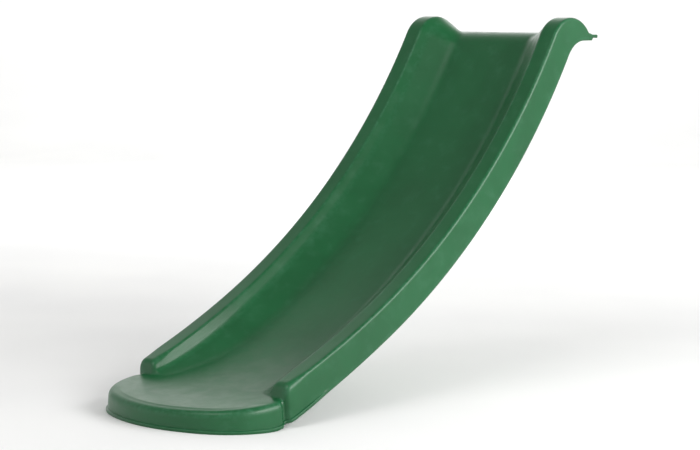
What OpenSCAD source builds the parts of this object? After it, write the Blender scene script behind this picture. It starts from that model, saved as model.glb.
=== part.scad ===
// Straight slide with a double wall, made to be screwed to a low platform.
// X is across the slide, Y runs back from the foot to the lip, Z is up.
// The origin is on the ground, under the middle of the slide. All sizes are in millimetres.

/* [Overall] */
// Outside width across the two side rails
outer_w = 356; // [296:1:428]
// Height of the platform that the lip rests on
platform_h = 600; // [500:5:720]
// Wall thickness of both skins
skin_t = 3; // [2.5:0.1:3.6]

/* [Side line] */
// Slope of the rails where they end at the foot, in degrees
foot_slope = 21; // [18:0.5:23]
// Slope where the lower arc meets the upper arc, in degrees
mid_slope = 28; // [26:0.5:32]
// Slope of the rails just below the crown, in degrees
top_slope = 59; // [56:0.5:61]
// Radius of the rail tops over the lower part of the slope
lower_r = 1660; // [1385:5:1990]
// Height of the rail tops above the ground where they end
nose_h = 75; // [70:1:84]
// Radius of the crown at the head of each rail
crown_r = 60; // [50:1:72]
// Rise of the crown above the lip
crown_rise = 29; // [24:1:34]

/* [Cross-section] */
// Width of the flat top of each rail
rail_w = 34; // [28:1:40]
// Depth of the bed below the rail tops
bed_depth = 42; // [35:1:50]
// Distance from the rail's inner edge to the flat part of the bed
wall_run = 56; // [46:1:68]
// Distance from the rail's inner edge to the soft shoulder of the inner wall
shoulder_in = 13; // [10:1:16]
// Thickness of the double-walled bed, from top to underside
bed_t = 11; // [9:0.5:13.5]
// Extra radius of the underside over the lower slope, which deepens the walls towards the foot
under_add = 480; // [380:10:580]
// How far the outside walls lean out from top to bottom
draft = 3; // [1.5:0.5:5]

/* [Foot] */
// Length from the front of the foot to where the rails start to end
foot_len = 164; // [148:1:196]
// Thickness of the foot at its front edge
foot_t = 34; // [30:1:40]
// Slope of the top of the foot, in degrees
deck_slope = 5; // [3:0.5:7]
// Radius of the front edge seen from above
front_r = 265; // [220:5:400]
// Radius of the front corners seen from above
corner_r = 110; // [91:1:132]
// How far the foot's widest part stands in from the rails
deck_inset = 0; // [0:0.5:6]
// How far the foot draws in where the rails end
neck_inset = 8; // [2:0.5:8]
// Length of the rounded end of each rail
nose_len = 20; // [16:1:26]
// How far the seam bead stands out around the foot
bead_w = 3; // [2:0.5:5]
// Height of the seam bead above the ground
bead_h = 6; // [5:0.5:8]

/* [Lip] */
// Length of the underside that rests on the platform, with the flange
lip_len = 42; // [38:1:50]
// Length of the thin flange at the back of the lip
flange_len = 12; // [10:1:15]
// Height of the flange's underside above the platform
flange_rise = 4.5; // [3:0.5:5.5]
// Radius of the bed where it turns over into the lip
lip_r = 50; // [42:1:60]
// Radius of the underside where it hooks over the platform's edge
hook_r = 52; // [43:1:63]

/* [Fixings] */
// Distance from the rail's inner edge to the middle of each fixing screw
screw_in = 49; // [40:1:59]
// Diameter of the screw shank
screw_d = 6; // [5:0.5:7]
// Length of the screw below its head
screw_len = 46; // [38:1:56]
// Diameter of the recess that holds the screw head
recess_d = 20; // [16.5:0.5:24]
// Space between each screw's head and its cap
cap_room = 0.9; // [0.5:0.1:3]
// Gap around the shank in its holes, and around the cap and washer
fit_gap = 0.3; // [0.2:0.1:0.5]

/* [Hidden] */
$fn = 64;
plastic = [0.10, 0.36, 0.19];

// Cross-section
half_w = outer_w / 2;
rail_in = half_w - rail_w;
wall_h = bed_depth + bed_t;
bed_half = rail_in - wall_run;
shoulder_x = rail_in - shoulder_in;
// Depth of the shoulder as a share of the bed's depth, at the foot, in the middle and at the head
shoulder_foot = 0.7;
shoulder_mid = 0.45;
shoulder_head = 0.28;
// Least lean of an outside wall, and least flat between the cove and the shoulder
min_lean = 1.2;
wall_flat = 2;
// Share of the inner wall's rounding that is left where the wall runs out
low_soft = 0.3;
// Length of each rounded corner along its two sides
cove_l = 12;
shoulder_l = 8;
inner_edge_l = 3.5;
outer_edge_l = 6;
deck_edge_l = 13;

// Screw, washer and cap, which set how thick the lip has to be
screw_x = rail_in - screw_in;
washer_t = 1.2;
head_r = screw_d;
head_t = screw_d * 0.55;
cap_t = 1.6;
lip_t = 2 * skin_t + washer_t + head_t + cap_room + cap_t;

// Lip and crown levels
lip_z = platform_h + lip_t;
crown_z = lip_z + crown_rise;
flange_z = platform_h + flange_rise + 2 * skin_t;
land_r = 10;

// Side line, measured from the front of the foot: the upper radius follows from the height
arc1_z = nose_h + lower_r * cos(foot_slope);
arc1_v = foot_len - lower_r * sin(foot_slope);
upper_r = (crown_z - arc1_z + lower_r * cos(mid_slope) - crown_r * (1 - cos(top_slope)))
    / (cos(mid_slope) - cos(top_slope));
arc2_z = arc1_z - (lower_r - upper_r) * cos(mid_slope);
arc2_v = arc1_v + (lower_r - upper_r) * sin(mid_slope);
hook_slope = acos((arc2_z + hook_r - platform_h) / (upper_r + wall_h + hook_r));
hook_end_v = arc2_v + (upper_r + wall_h + hook_r) * sin(hook_slope);
depth = hook_end_v + lip_len;

// The same places in the slide's own frame, centred front to back
front_y = -depth / 2;
back_y = depth / 2;
arc1 = [arc1_v + front_y, arc1_z];
arc2 = [arc2_v + front_y, arc2_z];
nose_y = foot_len + front_y;
crown_y = arc2.x + (upper_r + crown_r) * sin(top_slope);
land_angle = acos((crown_r - crown_rise + land_r) / (crown_r + land_r));
land_y = crown_y + (crown_r + land_r) * sin(land_angle);
hook_y = hook_end_v + front_y;

// Plan outline of the foot at its top edge
deck_half = half_w - deck_inset;
function lean(w) = max(min_lean, draft * w / wall_h);
deck_front_y = front_y + lean(foot_t) + bead_w;
front_c = [0, deck_front_y + front_r];
corner_c = [
    deck_half - corner_r,
    front_c.y - sqrt(pow(front_r - corner_r, 2) - pow(deck_half - corner_r, 2))
];
corner_angle = asin((deck_half - corner_r) / (front_r - corner_r));

// Ways along a curve in the side view give [y, z, slope]
function mix(a, b, u) = a + (b - a) * u;
function valley(c, r, ang) = [c.x + r * sin(ang), c.y - r * cos(ang), ang];
function crest(c, r, ang) = [c.x - r * sin(ang), c.y + r * cos(ang), ang];

// Where a straight line of the given slope through p meets the lower arc through a blend radius
function blend_start(p, slope, arc, r, blend) = slope + acos(
    ((arc.y - p.y) * cos(slope) - (arc.x - p.x) * sin(slope) - blend) / (r - blend));
// Height of a line that runs on into an arc, at a place y
function foot_line(y, p, slope, arc, r, blend) =
    let(join = blend_start(p, slope, arc, r, blend))
    let(c = [arc.x + (r - blend) * sin(join), arc.y - (r - blend) * cos(join)])
    y < c.x + blend * sin(slope) ? [y, p.y + (y - p.x) * tan(slope), slope]
    : y < c.x + blend * sin(join) ? valley(c, blend, asin((y - c.x) / blend))
    : valley(arc, r, asin((y - arc.x) / r));
deck_blend_r = 600;
ground_blend_r = 120;
under_arc = arc1 + under_add * [-sin(mid_slope), cos(mid_slope)];
function bed_foot(y) = foot_line(y, [deck_front_y, foot_t], deck_slope, arc1, lower_r + bed_depth, deck_blend_r);
function under_foot(y) = foot_line(y, [front_y, 0], 0, under_arc, lower_r + wall_h + under_add, ground_blend_r);

function under_top(y, t) = let(e = under_foot(y)) e.y + t / cos(e[2]);

// Turn from the upper arc into a level stretch that ends at end_y, by share u of its length
function turn(r, bend, top_z, end_y, u) =
    let(from = acos((arc2.y + bend - top_z) / (r + bend)))
    let(c = [arc2.x + (r + bend) * sin(from), top_z - bend])
    let(arc_len = bend * from * PI / 180)
    let(at = u * (arc_len + end_y - c.x))
    at < arc_len ? crest(c, bend, from - at / bend * 180 / PI)
    : [c.x + at - arc_len, top_z, 0];
function turn_slope(r, bend, top_z) = acos((arc2.y + bend - top_z) / (r + bend));

// Stations from the foot to the lip: [stretch, share of the stretch]
DECK = 0;
NOSE = 1;
LOWER = 2;
UPPER = 3;
HEAD = 4;
LIP = 5;
function stretch(kind, from, to, n) = [for (i = [0:n]) [kind, mix(from, to, i / n)]];
stations = concat(
    stretch(DECK, 0, 0.8, 2),
    [for (i = [0:6]) [NOSE, cos(90 * i / 7)]],
    stretch(LOWER, 0, 1, 9),
    stretch(UPPER, 0.09, 1, 11),
    stretch(HEAD, 1 / 17, 1, 16),
    stretch(LIP, 0.15, 1, 8)
);

deck_back_y = nose_y - nose_len;
// Share of a step that eases in and out
function ease(u) = u < 0 ? 0 : u > 1 ? 1 : u * u * (3 - 2 * u);
flange_y = back_y - flange_len;
function lip_top(y) = mix(lip_z, flange_z, ease((y - land_y) / (flange_y - land_y)));
function lip_under(y) = platform_h + flange_rise * ease((y - flange_y) / flange_rise + 1);

// Rail top line, bed line and underside line at a station
function rail_line(s) = let(u = s[1])
    s[0] == DECK ? bed_foot(mix(corner_c.y, deck_back_y, u))
    : s[0] == NOSE
        ? let(y = nose_y - nose_len * u, bed = bed_foot(y), full = valley(arc1, lower_r, foot_slope))
        [y, bed.y + (full.y - bed.y - (full.x - y) * sin(foot_slope)) * nose_share(u), foot_slope]
    : s[0] == LOWER ? valley(arc1, lower_r, mix(foot_slope, mid_slope, u))
    : s[0] == UPPER ? valley(arc2, upper_r, mix(mid_slope, top_slope, u))
    : s[0] == HEAD ? crown_line(u)
    : let(y = mix(land_y, back_y, u)) [y, lip_top(y), 0];
function crown_line(u) =
    let(crown_len = crown_r * (top_slope + land_angle) * PI / 180)
    let(at = u * (crown_len + land_r * land_angle * PI / 180))
    at < crown_len ? crest([crown_y, crown_z - crown_r], crown_r, top_slope - at / crown_r * 180 / PI)
    : valley([land_y, lip_z + land_r], land_r, -land_angle + (at - crown_len) / land_r * 180 / PI);
function bed_line(s) = let(u = s[1], r1 = lower_r + bed_depth, r2 = upper_r + bed_depth)
    s[0] == DECK ? rail_line(s)
    : s[0] == NOSE ? bed_foot(nose_y - nose_len * u + (1 - u) * bed_depth * sin(foot_slope))
    : s[0] == LOWER ? bed_foot(arc1.x + r1 * sin(mix(foot_slope, mid_slope, u)))
    : s[0] == UPPER ? valley(arc2, r2, mix(mid_slope, turn_slope(r2, lip_r, lip_z), u))
    : s[0] == HEAD ? turn(r2, lip_r, lip_z, land_y, u)
    : rail_line(s);
function under_line(s) = let(u = s[1], r1 = lower_r + wall_h, r2 = upper_r + wall_h)
    s[0] == DECK ? under_foot(mix(corner_c.y, deck_back_y, u))
    : s[0] == NOSE ? under_foot(nose_y - nose_len * u + (1 - u) * wall_h * sin(foot_slope))
    : s[0] == LOWER ? under_foot(arc1.x + r1 * sin(mix(foot_slope, mid_slope, u)))
    : s[0] == UPPER ? valley(arc2, r2, mix(mid_slope, hook_slope, u))
    : s[0] == HEAD ? turn(r2, hook_r, platform_h, land_y, u)
    : let(y = mix(land_y, back_y, u)) [y, lip_under(y), 0];

// How much of the rail and of the foot's bead there is at a station
function nose_share(u) = pow(max(0, 1 - u * u), 0.7);
function rail_share(s) = s[0] == DECK ? 0 : s[0] == NOSE ? nose_share(s[1]) : 1;
// Half width at the top edge: the foot draws in to a neck where the rails end
function top_half(s) = let(neck = half_w - neck_inset)
    s[0] == DECK ? mix(deck_half, neck, ease(s[1])) : mix(neck, half_w, rail_share(s));
function bead_share(s) = s[0] < LOWER ? 1 : s[0] == LOWER ? 1 - ease(s[1] * 3) : 0;
function shoulder_share(s) = s[0] < LOWER ? shoulder_foot
    : s[0] == LOWER ? mix(shoulder_foot, shoulder_mid, s[1])
    : s[0] == UPPER ? mix(shoulder_mid, shoulder_head, s[1]) : shoulder_head;

// Rounded corner at b, as a parabola that starts and ends a length l away
function corner(a, b, c, l, n) =
    let(cut = min(l, 0.42 * norm(b - a), 0.42 * norm(c - b)))
    let(p = b + (a - b) / norm(a - b) * cut, q = b + (c - b) / norm(c - b) * cut)
    [for (i = [0:n]) let(u = i / n) (1 - u) * (1 - u) * p + 2 * u * (1 - u) * b + u * u * q];
// Moves the corner b to the right of the way a to c, keeping both walls t thick
function shifted(a, b, c, t) =
    let(p = (b - a) / norm(b - a), q = (c - b) / norm(c - b))
    let(m = [-p.y, p.x], n = [-q.y, q.x])
    b + (m + n) / (1 + m * n) * t;

// Half of the cross-section as [x, depth below the rail top], from the middle of the bed outwards,
// with rail height d, wall height w, and inset t for the inner face of the skin
function half_section(s, d, w, edge_l, t) =
    let(low = 1 - min(1, d / bed_depth))
    let(soft = mix(1, low_soft, low))
    let(edge_x = top_half(s), thin = w < lip_t + 2)
    let(sx = mix(shoulder_x, rail_in - inner_edge_l - 1, low))
    let(bx = min(mix(bed_half, rail_in, low), sx - (cove_l + shoulder_l) * soft - wall_flat))
    let(raw = [[0, d], [bx, d], [sx, d * shoulder_share(s)], [rail_in, 0], [edge_x, 0], [edge_x + lean(w), w]])
    let(p = t == 0 ? raw : concat(
        [[0, d + t]],
        [for (i = [1:4]) shifted(raw[i - 1], raw[i], raw[i + 1], t)],
        [[edge_x + lean(w) - t, w]]))
    let(base = p[5] - [0, skin_t])
    let(foot = [base.x - (base.x - p[4].x) * (bead_h - skin_t) / (w - p[4].y), w - bead_h])
    let(out = (t == 0 ? bead_w : 0) * bead_share(s))
    concat(
        [p[0], [p[1].x * 0.55, p[1].y]],
        corner(p[0], p[1], p[2], cove_l * soft, 3),
        corner(p[1], p[2], p[3], shoulder_l * soft, 2),
        corner(p[2], p[3], p[4], inner_edge_l, 2),
        corner(p[3], p[4], thin ? base : p[5], edge_l, 3),
        thin ? [for (u = [0.6, 0.75, 0.9, 1]) mix(p[4], base, u)]
            : [mix(p[4], foot, 0.55), mix(foot, p[4], 0.04), foot + [out, 0], base + [out, 0]]
    );
EDGE = 12;
COLS = 19;

// Half row of the upper skin at a station: points [x, y, z] from the middle outwards
function half_row(s, t) =
    let(top = rail_line(s), bed = bed_line(s), under = under_line(s))
    let(a = [top.x, top.y], b = [bed.x, bed.y], e = [under.x, under.y])
    let(d = norm(b - a), w = norm(e - a))
    let(down = [sin(bed[2]), -cos(bed[2])], up = [-sin(under[2]), cos(under[2])])
    let(sec = half_section(s, d, w, mix(deck_edge_l, outer_edge_l, rail_share(s)), t))
    [for (i = [0:COLS]) let(p = sec[i])
        let(inside = a + (d < 0.01 ? 0 : min(p.y, d) / d) * (b - a) + max(p.y - d, 0) * down)
        let(outside = i == COLS ? e + skin_t * up : a + p.y / w * (e - a))
        let(q = i < EDGE ? inside : outside)
        [p.x, q.x, q.y]];

// Half row across the front of the foot, for a direction that swings from one side to the other
function fan_row(angle, t) =
    let(turned = abs(angle))
    let(rim = turned > corner_angle
        ? corner_c + corner_r * [sin(turned), -cos(turned)]
        : front_c + front_r * [sin(turned), -cos(turned)])
    let(out = [sin(turned), -cos(turned)])
    let(top_z = bed_foot(rim.y).y)
    let(sec = half_section([DECK, 0], 0, top_z - under_foot(rim.y).y, deck_edge_l, t))
    let(inner = sec[EDGE].x, start = rim + (inner - deck_half) * out)
    [for (i = [0:COLS]) let(p = sec[i])
        let(xy = i < EDGE ? mix([0, corner_c.y], start, p.x / inner) : rim + (p.x - deck_half) * out)
        let(z = i < EDGE ? bed_foot(xy.y).y - t / cos(deck_slope)
            : i < COLS ? top_z - p.y : under_top(xy.y, skin_t))
        [angle < 0 ? -xy.x : xy.x, xy.y, z]];
fan_angles = concat(
    [for (i = [1:4]) mix(90, corner_angle, i / 4)],
    [for (i = [1:9]) mix(corner_angle, -corner_angle, i / 10)],
    [for (i = [0:3]) mix(-corner_angle, -90, i / 4)]
);

// Underside, with three shallow channels that stiffen it and stay just clear of the upper skin
channel_x = bed_half - 26;
channel_half = 9;
channel_side = 6;
channel_gap = 0.4;
channel_rise = bed_t - 2 * skin_t - channel_gap;
seam_band = 16;
function channel_share(s) = s[0] == LOWER ? ease((s[1] - 0.35) * 3) : s[0] == UPPER ? ease((1 - s[1]) * 7) : 0;
function under_sec(s, t) =
    let(rise = channel_rise * channel_share(s), w = base_half(s))
    let(c0 = channel_half, c1 = c0 + channel_side, c2 = channel_x - c1, c3 = channel_x + c1)
    [[0, rise], [c0, rise], [c1, 0], [c2, 0], [c2 + channel_side, rise], [c3 - channel_side, rise], [c3, 0],
        [w - seam_band, 0], [w - skin_t - bead_w, 0], t > 0 ? [w, 0] : [w - 1, 0]];
function base_half(s) = half_row(s, 0)[COLS].x;
UNDER_COLS = 9;
function under_row(s, t) =
    let(e = under_line(s), up = [-sin(e[2]), cos(e[2])], sec = under_sec(s, t))
    [for (p = sec) let(q = [e.x, e.y] + (t + p.y) * up) [p.x, q.x, q.y]];
function under_fan(angle, t) =
    let(edge = fan_row(angle, 0)[COLS], sec = under_sec([DECK, 0], t), w = base_half([DECK, 0]))
    let(c = [0, corner_c.y], rim = [edge.x, edge.y])
    [for (p = sec) let(xy = mix(c, rim, p.x / w)) [xy.x, xy.y, under_top(xy.y, t)]];

// Closed sheet between an upper and a lower set of rows. Each row runs from the middle outwards, and
// is mirrored for the other side. The fan rows close the front around the middle of the first row.
module sheet(top_rows, top_fan, low_rows, low_fan, cols) {
    full = 2 * cols + 1;
    rows = len(top_rows);
    fans = len(top_fan);
    layer = rows * full + fans * cols;
    function across(row) = concat(
        [for (i = [cols:-1:1]) [-row[i].x, row[i].y, row[i].z]],
        row);
    function fan_points(fan) = [for (row = fan) for (i = [1:cols]) row[i]];
    function join(lists) = [for (list = lists) for (p = list) p];
    function at(r, c) = r * full + cols + c;
    function fan_at(k, c) = c == 0 ? at(0, 0)
        : k == 0 ? at(0, c) : k == fans + 1 ? at(0, -c) : rows * full + (k - 1) * cols + c - 1;
    // Two triangles, with the diagonal mirrored left to right
    function two(a, b, c, d, flip) = flip ? [[a, b, c], [a, c, d]] : [[a, b, d], [b, c, d]];
    function both(a, b, c, d, flip) = concat(
        two(a, b, c, d, flip),
        [for (f = two(a, b, c, d, flip)) [f[2] + layer, f[1] + layer, f[0] + layer]]);
    main = join([for (r = [0:rows - 2]) for (c = [-cols:cols - 1])
        both(at(r, c), at(r + 1, c), at(r + 1, c + 1), at(r, c + 1), c < 0)]);
    swept = join([for (k = [0:fans]) for (c = [1:cols - 1])
        both(fan_at(k, c), fan_at(k, c + 1), fan_at(k + 1, c + 1), fan_at(k + 1, c), k * 2 > fans)]);
    hub = join([for (k = [0:fans]) let(a = fan_at(k, 0), b = fan_at(k, 1), c = fan_at(k + 1, 1))
        [[a, b, c], [c + layer, b + layer, a + layer]]]);
    function rim(a, b) = [[a, b + layer, b], [a, a + layer, b + layer]];
    sides = join([for (r = [0:rows - 2])
        concat(rim(at(r, -cols), at(r + 1, -cols)), rim(at(r + 1, cols), at(r, cols)))]);
    front = join([for (k = [0:fans]) rim(fan_at(k, cols), fan_at(k + 1, cols))]);
    back = join([for (c = [-cols:cols - 1]) rim(at(rows - 1, c), at(rows - 1, c + 1))]);
    polyhedron(
        points = concat(
            join([for (row = top_rows) across(row)]), fan_points(top_fan),
            join([for (row = low_rows) across(row)]), fan_points(low_fan)),
        faces = concat(main, swept, hub, sides, front, back));
}

// Fixings
// Each recess stays this far clear of the end of the level top, and its cup of the flange's step
recess_back = 1;
cup_clear = 0.3;
screw_y = min(land_y - recess_back, flange_y - flange_rise - skin_t - cup_clear) - recess_d / 2;
recess_floor = platform_h + 2 * skin_t;
washer_r = recess_d / 2 - fit_gap;
hole_r = screw_d / 2 + fit_gap;
// The plain neck under a screw's head is this much thinner than its thread, all round
neck_cut = 0.4;
seat_z = recess_floor + washer_t;
tip_z = seat_z - screw_len;
// Depth that joined pieces of one solid run into each other
bite = 1;
module each_screw() {
    for (side = [-1, 1]) {
        translate([side * screw_x, screw_y, 0]) children();
    }
}

module upper_skin() {
    color(plastic) difference() {
        union() {
            sheet(
                [for (s = stations) half_row(s, 0)], [for (a = fan_angles) fan_row(a, 0)],
                [for (s = stations) half_row(s, skin_t)], [for (a = fan_angles) fan_row(a, skin_t)], COLS);
            // Cups that carry the screws down to the lower skin
            each_screw() translate([0, 0, platform_h + skin_t])
                cylinder(r = recess_d / 2 + skin_t, h = lip_t - skin_t - bite);
        }
        each_screw() translate([0, 0, recess_floor]) cylinder(d = recess_d, h = lip_t);
        each_screw() translate([0, 0, platform_h]) cylinder(r = hole_r, h = lip_t);
    }
}

module lower_skin() {
    color(plastic) difference() {
        sheet(
            [for (s = stations) under_row(s, skin_t)], [for (a = fan_angles) under_fan(a, skin_t)],
            [for (s = stations) under_row(s, 0)], [for (a = fan_angles) under_fan(a, 0)], UNDER_COLS);
        each_screw() translate([0, 0, platform_h - skin_t]) cylinder(r = hole_r, h = lip_t);
    }
}

module fixing_screws() {
    color("silver") each_screw() {
        translate([0, 0, seat_z]) cylinder(r = head_r, h = head_t);
        translate([0, 0, platform_h - bite])
            cylinder(r = screw_d / 2 - neck_cut, h = seat_z - platform_h + 2 * bite);
        translate([0, 0, tip_z]) cylinder(d = screw_d, h = platform_h - tip_z);
    }
}

module screw_washers() {
    color("gainsboro") each_screw() translate([0, 0, recess_floor]) difference() {
        cylinder(r = washer_r, h = washer_t);
        translate([0, 0, -bite]) cylinder(r = hole_r, h = washer_t + 2 * bite);
    }
}

module screw_caps() {
    color(plastic) each_screw() translate([0, 0, lip_z - cap_t])
        cylinder(d = recess_d - 2 * fit_gap, h = cap_t);
}

upper_skin();
lower_skin();
fixing_screws();
screw_washers();
screw_caps();
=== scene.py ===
"""Straight slide in moulded plastic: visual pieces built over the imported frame.

Sizes are in millimetres until the mesh is made, then metres, in the frame of the CAD model:
X across the slide, Y back from the foot to the lip, Z up, origin on the ground under the middle.
"""
import math

import bmesh
import bpy
import numpy as np
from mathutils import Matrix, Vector


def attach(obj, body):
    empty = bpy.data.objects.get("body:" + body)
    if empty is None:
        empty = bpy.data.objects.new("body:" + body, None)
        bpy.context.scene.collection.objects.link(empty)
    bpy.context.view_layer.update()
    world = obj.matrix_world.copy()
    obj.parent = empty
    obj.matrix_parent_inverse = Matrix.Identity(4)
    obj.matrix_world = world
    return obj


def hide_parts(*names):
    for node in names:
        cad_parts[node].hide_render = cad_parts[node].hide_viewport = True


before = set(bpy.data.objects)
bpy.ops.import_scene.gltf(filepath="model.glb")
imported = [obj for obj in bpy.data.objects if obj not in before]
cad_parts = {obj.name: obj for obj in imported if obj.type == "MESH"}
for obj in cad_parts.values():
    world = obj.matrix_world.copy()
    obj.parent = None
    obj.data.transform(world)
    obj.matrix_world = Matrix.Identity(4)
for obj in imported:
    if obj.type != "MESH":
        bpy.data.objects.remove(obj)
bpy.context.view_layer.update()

# ---------------------------------------------------------------- sizes, as in the CAD source
OUTER_W = 356.0
PLATFORM_H = 600.0
SKIN_T = 3.0
FOOT_SLOPE = 21.0
MID_SLOPE = 28.0
TOP_SLOPE = 59.0
LOWER_R = 1660.0
NOSE_H = 75.0
CROWN_R = 60.0
CROWN_RISE = 29.0
RAIL_W = 34.0
BED_DEPTH = 42.0
WALL_RUN = 56.0
SHOULDER_IN = 13.0
BED_T = 11.0
UNDER_ADD = 480.0
DRAFT = 3.0
FOOT_LEN = 164.0
FOOT_T = 34.0
DECK_SLOPE = 5.0
FRONT_R = 265.0
CORNER_R = 110.0
DECK_INSET = 0.0
NECK_INSET = 8.0
NOSE_LEN = 20.0
BEAD_W = 3.0
BEAD_H = 6.0
LIP_LEN = 42.0
FLANGE_LEN = 12.0
FLANGE_RISE = 4.5
LIP_R = 50.0
HOOK_R = 52.0
SCREW_IN = 49.0
SCREW_D = 6.0
SCREW_LEN = 46.0
RECESS_D = 20.0
CAP_ROOM = 0.9
FIT_GAP = 0.3
SHOULDERS = (0.7, 0.45, 0.28)
MIN_LEAN = 1.2
WALL_FLAT = 2.0
LOW_SOFT = 0.3
COVE_L = 12.0
SHOULDER_L = 8.0
INNER_EDGE_L = 3.5
OUTER_EDGE_L = 6.0
DECK_EDGE_L = 13.0
WASHER_T = 1.2
CAP_T = 1.6
LAND_R = 10.0
DECK_BLEND_R = 600.0
GROUND_BLEND_R = 120.0
# Recess cups: distance kept in front of the landing and of the flange's step
RECESS_BACK = 1.0
CUP_CLEAR = 0.3
# Underside channels: distance in from the bed's edge, half width with sides, one side, gap to the upper skin
CHANNEL_IN = 26.0
CHANNEL_HALF = 15.0
CHANNEL_SIDE = 6.0
CHANNEL_GAP = 0.4
# Rail ends at the foot: edge length there, and the way along the rail over which it narrows to the usual one
NOSE_INNER_L = 11.0
NOSE_FADE = 55.0

MM = 0.001
MERGE_DIST = 1e-5
SKIN_SHARP, PRESSED_SHARP, SCREW_SHARP = 38, 35, 40


def sind(a):
    """Sine of an angle in degrees."""
    return np.sin(np.radians(a))


def cosd(a):
    """Cosine of an angle in degrees."""
    return np.cos(np.radians(a))


HALF_W = OUTER_W / 2
RAIL_INNER = HALF_W - RAIL_W
WALL_H = BED_DEPTH + BED_T
BED_HALF = RAIL_INNER - WALL_RUN
SHOULDER_X = RAIL_INNER - SHOULDER_IN
HEAD_T = SCREW_D * 0.55
LIP_T = 2 * SKIN_T + WASHER_T + HEAD_T + CAP_ROOM + CAP_T
LIP_Z = PLATFORM_H + LIP_T
CROWN_Z = LIP_Z + CROWN_RISE
FLANGE_Z = PLATFORM_H + FLANGE_RISE + 2 * SKIN_T
arc1_z = NOSE_H + LOWER_R * cosd(FOOT_SLOPE)
arc1_v = FOOT_LEN - LOWER_R * sind(FOOT_SLOPE)
UPPER_R = ((CROWN_Z - arc1_z + LOWER_R * cosd(MID_SLOPE) - CROWN_R * (1 - cosd(TOP_SLOPE)))
           / (cosd(MID_SLOPE) - cosd(TOP_SLOPE)))
arc2_z = arc1_z - (LOWER_R - UPPER_R) * cosd(MID_SLOPE)
arc2_v = arc1_v + (LOWER_R - UPPER_R) * sind(MID_SLOPE)
HOOK_SLOPE = math.degrees(math.acos((arc2_z + HOOK_R - PLATFORM_H) / (UPPER_R + WALL_H + HOOK_R)))
hook_end_v = arc2_v + (UPPER_R + WALL_H + HOOK_R) * sind(HOOK_SLOPE)
DEPTH = hook_end_v + LIP_LEN
FRONT_Y = -DEPTH / 2
BACK_Y = DEPTH / 2
ARC1 = np.array([arc1_v + FRONT_Y, arc1_z])
ARC2 = np.array([arc2_v + FRONT_Y, arc2_z])
UNDER_ARC = ARC1 + UNDER_ADD * np.array([-sind(MID_SLOPE), cosd(MID_SLOPE)])
NOSE_Y = FOOT_LEN + FRONT_Y
CROWN_Y = ARC2[0] + (UPPER_R + CROWN_R) * sind(TOP_SLOPE)
LAND_ANGLE = math.degrees(math.acos((CROWN_R - CROWN_RISE + LAND_R) / (CROWN_R + LAND_R)))
LAND_Y = CROWN_Y + (CROWN_R + LAND_R) * sind(LAND_ANGLE)
FLANGE_Y = BACK_Y - FLANGE_LEN
SCREW_X = RAIL_INNER - SCREW_IN
SCREW_Y = min(LAND_Y - RECESS_BACK, FLANGE_Y - FLANGE_RISE - SKIN_T - CUP_CLEAR) - RECESS_D / 2
SCREWS = [(-SCREW_X, SCREW_Y), (SCREW_X, SCREW_Y)]
RECESS_FLOOR = PLATFORM_H + 2 * SKIN_T
SEAT_Z = RECESS_FLOOR + WASHER_T
HOLE_R = SCREW_D / 2 + FIT_GAP
DECK_HALF = HALF_W - DECK_INSET


def lean(w):
    """How far an outside wall of height w leans out: by the draft, and never less than a set amount."""
    return np.maximum(MIN_LEAN, DRAFT * w / WALL_H)


DECK_FRONT_Y = FRONT_Y + lean(FOOT_T) + BEAD_W
FRONT_C = np.array([0.0, DECK_FRONT_Y + FRONT_R])
CORNER_C = np.array([DECK_HALF - CORNER_R, FRONT_C[1]
                     - math.sqrt((FRONT_R - CORNER_R) ** 2 - (DECK_HALF - CORNER_R) ** 2)])
CORNER_ANGLE = math.degrees(math.asin((DECK_HALF - CORNER_R) / (FRONT_R - CORNER_R)))
DECK_BACK_Y = NOSE_Y - NOSE_LEN


def ease(u):
    """Share u, held to 0 to 1, that eases in and out as three squares less two cubes."""
    u = np.clip(u, 0, 1)
    return u * u * (3 - 2 * u)


def mix(a, b, u):
    """Value at the share u of the way from a to b."""
    return a + (b - a) * u


def foot_line(y, p, slope, arc, r, blend):
    """Straight line through p, then a blend arc, then the big arc: [y, z, slope] for each y."""
    join = math.radians(slope) + math.acos(((arc[1] - p[1]) * cosd(slope)
                                            - (arc[0] - p[0]) * sind(slope) - blend) / (r - blend))
    c = (arc[0] + (r - blend) * math.sin(join), arc[1] - (r - blend) * math.cos(join))
    y = np.asarray(y, float)
    q2 = np.clip((y - c[0]) / blend, -1, 1)
    q3 = np.clip((y - arc[0]) / r, -1, 1)
    first = y < c[0] + blend * sind(slope)
    second = y < c[0] + blend * math.sin(join)
    z = np.where(first, p[1] + (y - p[0]) * math.tan(math.radians(slope)),
                 np.where(second, c[1] - blend * np.sqrt(1 - q2 * q2), arc[1] - r * np.sqrt(1 - q3 * q3)))
    s = np.where(first, slope, np.degrees(np.arcsin(np.where(second, q2, q3))))
    return np.stack([y, z, s], -1)


def bed_foot(y):
    """Bed line through the deck, the blend and the lower arc."""
    return foot_line(y, (DECK_FRONT_Y, FOOT_T), DECK_SLOPE, ARC1, LOWER_R + BED_DEPTH, DECK_BLEND_R)


def under_foot(y):
    """Underside line: level on the ground, then the blend and the underside's own arc."""
    return foot_line(y, (FRONT_Y, 0.0), 0.0, UNDER_ARC, LOWER_R + WALL_H + UNDER_ADD, GROUND_BLEND_R)


def valley(c, r, a):
    """Point [y, z, slope] on a hollow arc: straight below its centre c, turned by the slope a."""
    return np.stack([c[0] + r * sind(a), c[1] - r * cosd(a), a], -1)


def crest(c, r, a):
    """Point [y, z, slope] on a humped arc: straight above its centre c, turned by the slope a."""
    return np.stack([c[0] - r * sind(a), c[1] + r * cosd(a), a], -1)


def turn_slope(r, bend, top_z):
    """Slope at which the upper arc of radius r meets the bend that levels out at top_z."""
    return math.degrees(math.acos((ARC2[1] + bend - top_z) / (r + bend)))


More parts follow.
